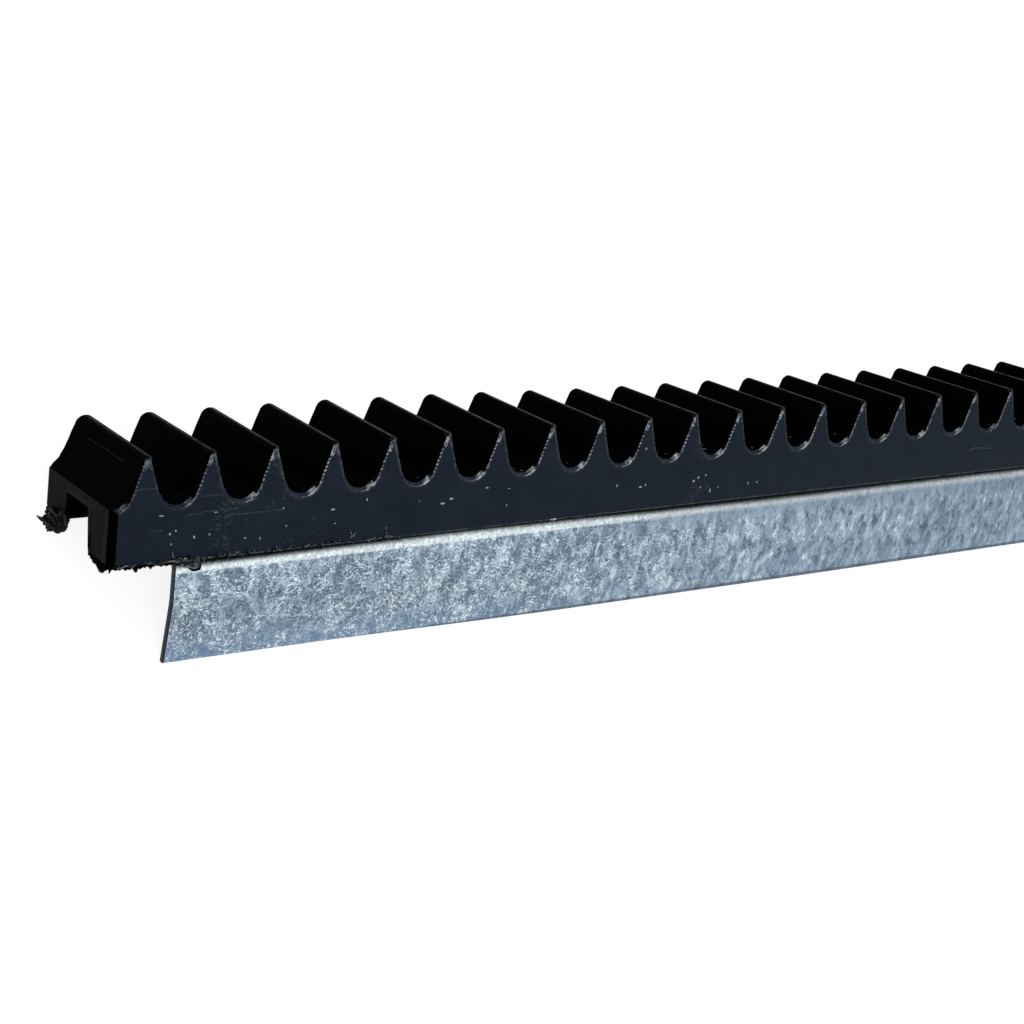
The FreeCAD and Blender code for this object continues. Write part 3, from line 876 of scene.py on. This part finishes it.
burrs = {
    "fringeX": (0.9, 12.7),         # torn edge under the front wall, up to where the steel starts
    "fringeTufts": 60,
    "fringeY": (0.15, 0.6),
    "fringeRadius": (0.24, 0.42),
    "fringeDrop": (0.55, 0.85),
    "coreRadius": 0.26,
    # longer tufts: x, drop, radius
    "nibs": [(5.2, 1.3, 0.75), (8.0, 1.0, 0.5), (3.3, 0.8, 0.45), (10.1, 0.85, 0.4)],
    "sawnTufts": 44,                # under the front wall's sawn end
    "sawnY": 7.7,
    "sawnDrop": [(0.0, 0.3), (0.6, 0.6), (2.8, 1.7), (5.0, 0.85), (7.9, 0.0)],  # y, drop
    "sawnNibs": [(0.1, 0.95), (3.2, 1.75)],
    "backTufts": 6,                 # up the front wall's edge in the channel
    "lipSteps": 48,
    "lipRadius": 0.2,
    "lipStrands": [(2, 17, 0.25), (20, 30, 0.12), (38, 47, 0.05)],  # first and last step, lift
    "hairX": (14.0, 60.0),
    "hairs": 120,
    "hairLength": (0.45, 1.5),
    "hairRadius": 0.085,
    "flapX": (12.3, 17.4),
    "flapTop": -19.15,
    "flapDrop": [(0.0, 0.35), (0.25, 0.85), (0.5, 1.45), (0.8, 2.35), (1.0, 2.2)],  # share along, drop
    "flapSheet": 0.14,
    "flapStrands": [[(11.3, -19.2), (12.3, -19.3), (13.3, -19.8), (14.3, -20.3), (15.5, -20.75),
                     (16.55, -21.1)],
                    [(12.75, -19.05), (13.5, -18.9), (13.9, -19.3), (14.5, -18.9), (14.75, -19.25)],
                    [(15.0, -19.3), (15.4, -19.15), (16.0, -19.2), (16.4, -19.4)],
                    [(15.3, -19.9), (16.1, -20.0), (16.75, -20.4), (16.65, -20.9), (16.05, -21.05)]],
    "knotLumps": [((-0.3, 23.79, -16.19), 0.55), ((-0.8, 23.06, -16.67), 0.5), ((-0.5, 21.74, -16.11), 1.0),
                  ((-1.5, 21.93, -17.58), 1.1), ((-1.3, 20.71, -18.18), 1.25), ((-0.7, 21.2, -17.6), 1.8),
                  ((-0.4, 19.8, -17.6), 2.0), ((-0.1, 18.9, -17.2), 1.9), ((-0.1, 18.1, -16.3), 1.6),
                  ((-0.3, 16.34, -15.78), 0.75)],
    "knotFlat": 0.6,                # the lumps' size along the bar, against their size across it
    "knotTail": [(-1.7, 21.62, -17.16), (-2.0, 22.45, -17.66), (-2.3, 22.95, -17.47), (-2.7, 23.41, -17.13)],
    "knotRolls": [[(-0.6, 23.4, -15.9), (-1.0, 21.1, -15.6), (-1.0, 19.6, -15.8), (-1.1, 18.5, -16.0),
                   (-1.1, 17.7, -16.5), (-1.0, 17.5, -17.4)],
                  [(-2.1, 21.3, -17.4), (-2.1, 20.4, -17.7), (-1.9, 19.6, -17.9), (-1.5, 19.0, -18.2),
                   (-1.2, 18.3, -18.3)],
                  [(-1.8, 21.1, -16.8), (-1.6, 20.5, -16.6), (-1.5, 19.4, -16.6), (-1.4, 18.7, -17.0),
                   (-1.4, 18.5, -17.6)],
                  [(-0.6, 17.1, -15.2), (-0.7, 16.0, -15.3), (-0.7, 15.8, -16.0), (-0.4, 16.8, -17.2)]],
    "faceHairs": [[(12.0, -17.7), (12.1, -18.3), (12.4, -18.9), (12.9, -19.3)],
                  [(48.0, -16.8), (48.7, -17.4), (49.1, -18.2), (48.8, -19.1)],
                  [(49.9, -17.9), (49.5, -18.3), (49.4, -18.8), (49.7, -19.3)],
                  [(56.7, -17.2), (56.6, -17.9), (56.9, -18.5), (56.9, -19.2)]],
    # x, z, width and height of the crumbs on the front face
    "crumbs": [(11.3, -14.4, 0.42, 0.42), (11.7, -16.3, 0.48, 0.48), (16.1, -15.4, 0.36, 0.6),
               (19.1, -15.2, 0.4, 0.4), (26.4, -16.6, 0.5, 0.36), (29.5, -17.0, 0.25, 0.9),
               (12.4, -13.9, 0.45, 0.3), (9.4, -10.9, 1.0, 0.25), (20.1, -11.2, 0.9, 0.24),
               (33.9, -11.7, 0.45, 0.4), (34.8, -15.1, 0.4, 0.4), (44.5, -12.9, 1.0, 0.4),
               (45.2, -15.6, 0.3, 0.4), (51.8, -11.6, 0.32, 0.55), (63.7, -12.9, 0.3, 0.25),
               (69.2, -13.9, 1.15, 0.42), (71.2, -13.1, 1.0, 0.42), (79.5, -11.6, 1.0, 0.42),
               (84.8, -12.2, 0.9, 0.2), (84.7, -15.6, 0.4, 0.55), (112.6, -13.9, 0.5, 0.7),
               (119.0, -14.7, 0.9, 0.35), (120.3, -14.4, 0.4, 0.6), (134.9, -13.9, 0.7, 0.6),
               (136.9, -13.6, 0.6, 0.5), (133.7, -14.6, 0.6, 0.6), (135.8, -16.1, 0.7, 0.3),
               (138.8, -17.1, 0.4, 0.9), (140.9, -16.5, 0.5, 0.5), (149.7, -16.4, 0.4, 0.8),
               (152.3, -16.3, 0.6, 0.5), (119.1, -6.5, 0.5, 0.6), (97.0, -19.65, 1.7, 0.42)],
    "crumbHeight": 0.09,            # how far a crumb stands off its surface
    "strayCrumbs": 260,
}


def addTuft(bm, foot, tip, radius, blunt=0.2):
    along = tip - foot
    turn = along.to_track_quat("Z", "Y").to_matrix().to_4x4()
    bmesh.ops.create_cone(bm, cap_ends=True, segments=5, radius1=radius, radius2=radius * blunt,
                          depth=along.length, matrix=Matrix.Translation((foot + tip) / 2) @ turn)


def addThread(bm, points, radii, sides=5):
    rings = []
    for index, point in enumerate(points):
        ahead = points[min(index + 1, len(points) - 1)] - points[max(index - 1, 0)]
        place = Matrix.Translation(point) @ ahead.to_track_quat("Z", "Y").to_matrix().to_4x4()
        ring = bmesh.ops.create_circle(bm, segments=sides, radius=radii[index], matrix=place)
        rings.append(list({e for v in ring["verts"] for e in v.link_edges}))
    for near, far in zip(rings, rings[1:]):
        bmesh.ops.bridge_loops(bm, edges=near + far)
    bmesh.ops.holes_fill(bm, edges=rings[0] + rings[-1], sides=0)


def addStrand(bm, points, thin, thick, end):
    addThread(bm, points, [thin] + [thick] * (len(points) - 2) + [end])


def tornFringe(material):
    # ragged black edge below the front wall and round the foot of its sawn end
    chance = random.Random(11)
    bm = bmesh.new()
    low = -rack["frontHeight"]
    fromX, toX = burrs["fringeX"]
    core = []
    for number in range(burrs["fringeTufts"]):
        x = fromX + (toX - fromX) * number / (burrs["fringeTufts"] - 1)
        foot = Vector((x, chance.uniform(*burrs["fringeY"]), low + 0.2))
        drop = chance.uniform(*burrs["fringeDrop"]) * min(0.45 + 0.2 * x, 1)
        tip = foot + Vector((chance.uniform(-0.2, 0.2), chance.uniform(-0.2, 0.1), -0.2 - drop))
        addTuft(bm, foot, tip, chance.uniform(*burrs["fringeRadius"]), 0.45)
        core.append(Vector((x, 0.2, low - 0.22 + chance.uniform(-0.06, 0.06))))
    addThread(bm, core[::3], [burrs["coreRadius"]] * len(core[::3]), 6)
    for x, drop, radius in burrs["nibs"]:
        addTuft(bm, Vector((x, 0.3, low - 0.2)), Vector((x + 0.1, 0.1, low - drop)), radius, 0.3)
    for number in range(burrs["sawnTufts"]):
        y = burrs["sawnY"] * number / (burrs["sawnTufts"] - 1)
        foot = Vector((max(rack["cornerCut"] - y, 0) + 0.25, y, low + 0.25))
        drop = valueAt(burrs["sawnDrop"], y) * chance.uniform(0.8, 1.05)
        tip = foot + Vector((-0.25 - chance.uniform(0, 0.15), chance.uniform(-0.2, 0.2), -0.25 - drop))
        addTuft(bm, foot, tip, chance.uniform(*burrs["fringeRadius"]), 0.5)
    for y, drop in burrs["sawnNibs"]:
        addTuft(bm, Vector((0.4, y, low)), Vector((0.1, y - 0.1, low - drop)), 0.4)
    for number in range(burrs["backTufts"]):
        foot = Vector((0.1, 7.8, low + 1.2 + 0.5 * number))
        addTuft(bm, foot, foot + Vector((-0.1, 0.45 - 0.1 * abs(number - 3), 0.1)), 0.35, 0.5)
    finishScrap(bm, "torn_fringe", material, 50)


def curledLip(material):
    # thin curled skin that runs along the fringe
    chance = random.Random(5)
    bm = bmesh.new()
    fromX, toX = burrs["fringeX"]
    points = []
    for number in range(burrs["lipSteps"] + 1):
        x = fromX + (toX - fromX) * number / burrs["lipSteps"]
        rise = 0.12 + 0.16 * math.sin(x * 0.9 + 2.2) + 0.06 * math.sin(x * 4.1) + chance.uniform(-0.04, 0.04)
        points.append(Vector((x, -0.08 + 0.05 * math.sin(x * 2.3), -rack["frontHeight"] + rise)))
    radii = []
    for point in points:
        thicker = 1.6 if 3.6 < point.x < 11.5 else 1
        radii.append(burrs["lipRadius"] * chance.uniform(0.6, 1.0) * thicker)
    addThread(bm, points, radii)
    finishScrap(bm, "curled_lip", material, 60)
    return points


def looseStrands(material, lip):
    bm = bmesh.new()
    for first, last, lift in burrs["lipStrands"]:
        strand = [point + Vector((0.1, -0.14, lift * math.sin(point.x * 2.7))) for point in lip[first:last]]
        addThread(bm, strand, [0.08] * len(strand))
    for hair in burrs["faceHairs"]:
        addThread(bm, [Vector((x, -0.12, z)) for x, z in hair], [0.06, 0.12, 0.12, 0.05])
    finishScrap(bm, "loose_strands", material, 60)


def edgeHairs(name, material, seed, share):
    # fine hairs that stand off the moulded edge above the steel
    chance = random.Random(seed)
    bm = bmesh.new()
    fromX, toX = burrs["hairX"]
    parts = [number / 4 for number in range(5)]
    for _ in range(int(burrs["hairs"] * share)):
        x = fromX + (toX - fromX) * chance.random() ** 1.4
        length = chance.uniform(*burrs["hairLength"])
        slant = math.radians(chance.uniform(-70, 250))
        way = Vector((math.cos(slant), -0.25, math.sin(slant) * 0.7))
        side = Vector((-way.z, 0, way.x)) * chance.uniform(-0.6, 0.6)
        foot = Vector((x, -0.03, -rack["frontHeight"] + chance.uniform(-0.05, 0.25)))
        points = [foot + (way * part + side * part * part) * length for part in parts]
        addThread(bm, points, [burrs["hairRadius"] * (1 - 0.7 * part) for part in parts], 4)
    finishScrap(bm, name, material, 60)


def flapStrands(material):
    # pale stretched strands over the dark flap
    bm = bmesh.new()
    for strand in burrs["flapStrands"]:
        addStrand(bm, [Vector((x, -0.52, z)) for x, z in strand], 0.09, 0.16, 0.06)
    finishScrap(bm, "flap_strands", material, 60)


def tornFlap(material):
    # a whitened flap of torn plastic that hangs over the top of the steel
    chance = random.Random(3)
    bm = bmesh.new()
    bmesh.ops.create_grid(bm, x_segments=18, y_segments=6, size=0.5)
    fromX, toX = burrs["flapX"]
    for vert in bm.verts:
        across, down = vert.co.x + 0.5, 0.5 - vert.co.y
        ragged = chance.uniform(-0.08, 0.08) if down > 0.9 or across > 0.95 else 0
        belly = -0.12 - 0.30 * math.sin(math.pi * down) * across
        vert.co = Vector((fromX + (toX - fromX) * across + ragged,
                          belly + 0.1 * math.sin(9 * across + 4 * down),
                          burrs["flapTop"] - valueAt(burrs["flapDrop"], across) * down + ragged))
    bmesh.ops.recalc_face_normals(bm, faces=bm.faces)
    bmesh.ops.solidify(bm, geom=bm.faces, thickness=burrs["flapSheet"])
    bmesh.ops.recalc_face_normals(bm, faces=bm.faces)
    finishScrap(bm, "torn_flap", material, 50)


def flapRim(material):
    # the flap's black rolled rim, thickest at its tip
    chance = random.Random(9)
    bm = bmesh.new()
    fromX, toX = burrs["flapX"]
    top = burrs["flapTop"]
    steps = 14
    rim = []
    for number in range(steps + 1):
        across = number / steps
        rim.append(Vector((fromX + (toX - fromX) * across, -0.25, top - valueAt(burrs["flapDrop"], across))))
    tip = rim[-1]
    rim += [tip + Vector((0.2, 0, 0.35)), tip + Vector((0.1, 0, 0.95)), Vector((toX + 0.1, -0.2, top - 0.2))]
    radii = [0.10 + 0.012 * min(number, steps) + chance.uniform(-0.02, 0.03) for number in range(len(rim))]
    addThread(bm, rim, radii)
    for _ in range(12):
        foot = tip + Vector((-chance.uniform(0.0, 1.2), 0, chance.uniform(-0.1, 0.3)))
        aside = Vector((chance.uniform(0.0, 0.5), chance.uniform(-0.2, 0.1), chance.uniform(-0.3, 0.2)))
        addTuft(bm, foot, foot + aside, 0.2)
    finishScrap(bm, "flap_rim", material, 50)


def swarfKnot(material):
    # a knot of saw swarf at the foot of the sawn rear wall, reaching down to the floor
    chance = random.Random(21)
    bm = bmesh.new()
    flat = Vector((burrs["knotFlat"], 1, 1))
    for place, radius in burrs["knotLumps"]:
        heart = Vector(place)
        for vert in bmesh.ops.create_icosphere(bm, subdivisions=3, radius=1)["verts"]:
            way = vert.co.copy()
            wave = 0.06 * math.sin(5 * way.y + 4 * way.z) + 0.04 * math.sin(9 * way.z - 6 * way.y)
            wave += chance.uniform(-0.03, 0.03)
            vert.co = heart + way * flat * radius * (0.94 + wave)
        for _ in range(6):
            way = Vector((chance.uniform(-1, 0.4), chance.uniform(-1, 1), chance.uniform(-1, 0.3)))
            out = way.normalized() * flat * radius
            aside = Vector((0, chance.uniform(-0.2, 0.2), chance.uniform(-0.2, 0.2)))
            addTuft(bm, heart + out * 0.75, heart + out * chance.uniform(0.98, 1.06) + aside, 0.28, 0.6)
    addThread(bm, [Vector(point) for point in burrs["knotTail"]], [0.7, 0.45, 0.28, 0.06])
    keepOffFloor(bm, 0.06)
    finishScrap(bm, "swarf_knot", material, 60)


def swarfRolls(material):
    # the ribbon edges that show on the knot, one arc inside the other; their lighter grey is partly painted
    # highlight
    bm = bmesh.new()
    for roll in burrs["knotRolls"]:
        addStrand(bm, [Vector(point) for point in roll], 0.10, 0.24, 0.08)
    keepOffFloor(bm, 0.1)
    finishScrap(bm, "swarf_rolls", material, 60)


def addCrumb(bm, place, size, flatWay):
    # half of each size either way, but flat along the way that points off its surface
    radii = [side / 2 for side in size]
    radii[flatWay] = burrs["crumbHeight"]
    scale = Matrix.Diagonal((*radii, 1))
    bmesh.ops.create_icosphere(bm, subdivisions=2, radius=1, matrix=Matrix.Translation(place) @ scale)


def plasticCrumbs(material):
    # pale crumbs on the front face and low in the gaps
    chance = random.Random(31)
    bm = bmesh.new()
    for x, z, wide, high in burrs["crumbs"]:
        addCrumb(bm, Vector((x, 0, z)), (wide, 0, high), 1)
    for _ in range(burrs["strayCrumbs"]):
        size = chance.uniform(0.12, 0.34)
        gap = rack["pitch"] * chance.randint(1, rack["teeth"] - 1)
        aside = chance.uniform(-1.0, 2.8)
        height = -rack["rootDepth"] + 0.05 + aside * aside / 6
        place = Vector((gap + aside, chance.uniform(0.9, 11.0), height))
        addCrumb(bm, place, (size, size * 1.3, size), 2)
    finishScrap(bm, "plastic_crumbs", material, 80)


def paleMaterial():
    material, tree, inBar = newMaterial("pale plastic crumbs")
    grain = noise(tree, inBar, 2.0, 2.0)
    colour = mixColour(tree, ramp(tree, grain, 0.35, 0.65), plasticLook["rubAndSheen"], plasticLook["shine"])
    return finishMaterial(material, colour, 0.6, Specular_IOR_Level=0.1)


darkTorn = tornMaterial("torn black plastic", 0.50, plasticLook["tornDark"])
greyTorn = tornMaterial("greyed torn plastic", 0.40, plasticLook["tornGrey"])
paleTorn = tornMaterial("whitened torn plastic", 0.44, plasticLook["tornLight"])
tornFringe(plastics[1])
looseStrands(paleTorn, curledLip(greyTorn))
edgeHairs("dark_hairs", plastics[1], 17, 0.55)
edgeHairs("pale_hairs", paleTorn, 18, 0.45)
tornFlap(tornMaterial("thin stretched plastic", 0.38, plasticLook["tornThin"]))
flapStrands(paleTorn)
flapRim(plastics[1])
swarfKnot(darkTorn)
swarfRolls(greyTorn)
plasticCrumbs(paleMaterial())

studio = {
    "floorSize": 6,
    "floorDrop": 0.0002,
    "floorShade": 0.30,
    "floorGlow": 0.86,       # added where the floor is looked at
    "skyUnseen": 0.45,       # the sky's strength where it isn't looked at
    # name, place, size and watts of the lamps
    "lamps": [("key", (-0.9, -1.1, 1.5), 1.2, 10), ("fill", (0.6, -1.5, 1.0), 1.5, 5.5),
              ("rear", (0.8, 1.0, 1.0), 0.8, 6)],
}
view = {
    "place": (-154.692, -298.671, 99.523),
    "right": (0.79478, -0.59548, 0.11714),
    "down": (-0.08597, -0.30154, -0.94957),
    "ahead": (0.60077, 0.74463, -0.29085),
    "lens": 72.09,
    "sensor": 36,
    "nearest": 0.01,
}


def lookedAt(tree):
    path = addNode(tree, "LightPath").outputs
    return largest(tree, path["Is Camera Ray"], path["Is Glossy Ray"], path["Is Transmission Ray"])


def addFloor():
    material = bpy.data.materials.new("pale floor")
    tree = emptyTree(material)
    shade = addNode(tree, "BsdfDiffuse", Color=(studio["floorShade"],) * 3 + (1,)).outputs[0]
    glow = addNode(tree, "Emission", Color=(1, 1, 1, 1), Strength=studio["floorGlow"]).outputs[0]
    both = addNode(tree, "AddShader", in0=shade, in1=glow).outputs[0]
    mixed = addNode(tree, "MixShader", in0=lookedAt(tree), in1=shade, in2=both).outputs[0]
    addNode(tree, "OutputMaterial", Surface=mixed)
    mesh = bpy.data.meshes.new("floor")
    bm = bmesh.new()
    bmesh.ops.create_grid(bm, x_segments=1, y_segments=1, size=studio["floorSize"])
    bm.to_mesh(mesh)
    bm.free()
    mesh.materials.append(material)
    floor = bpy.data.objects.new("floor", mesh)
    floor.location.z = -studio["floorDrop"]
    bpy.context.scene.collection.objects.link(floor)


def addSky():
    world = bpy.data.worlds.new("studio")
    bpy.context.scene.world = world
    tree = emptyTree(world)
    level = addNode(tree, "MapRange", Value=lookedAt(tree), To_Min=studio["skyUnseen"], To_Max=1.0)
    background = addNode(tree, "Background", Color=(1, 1, 1, 1), Strength=level.outputs["Result"]).outputs[0]
    addNode(tree, "OutputWorld", Surface=background)


def addLamps():
    for name, place, size, watts in studio["lamps"]:
        lamp = bpy.data.lights.new(name, "AREA")
        lamp.size = size
        lamp.energy = watts
        light = bpy.data.objects.new(name, lamp)
        light.location = place
        light.rotation_euler = (-Vector(place)).to_track_quat("-Z", "Y").to_euler()
        bpy.context.scene.collection.objects.link(light)


def addCamera():
    camera = bpy.data.objects.new("camera", bpy.data.cameras.new("camera"))
    camera.data.lens = view["lens"]
    camera.data.sensor_width = view["sensor"]
    camera.data.clip_start = view["nearest"]
    turn = Matrix((view["right"], -Vector(view["down"]), -Vector(view["ahead"]))).transposed()
    turn = (leanTurn.to_3x3() @ turn).to_quaternion()
    camera.matrix_world = Matrix.LocRotScale(upright @ Vector(view["place"]), turn, None)
    bpy.context.scene.collection.objects.link(camera)
    bpy.context.scene.camera = camera


addFloor()
addSky()
addLamps()
addCamera()
bpy.context.scene.view_settings.view_transform = "Standard"
print("stage, lamps and camera are set")
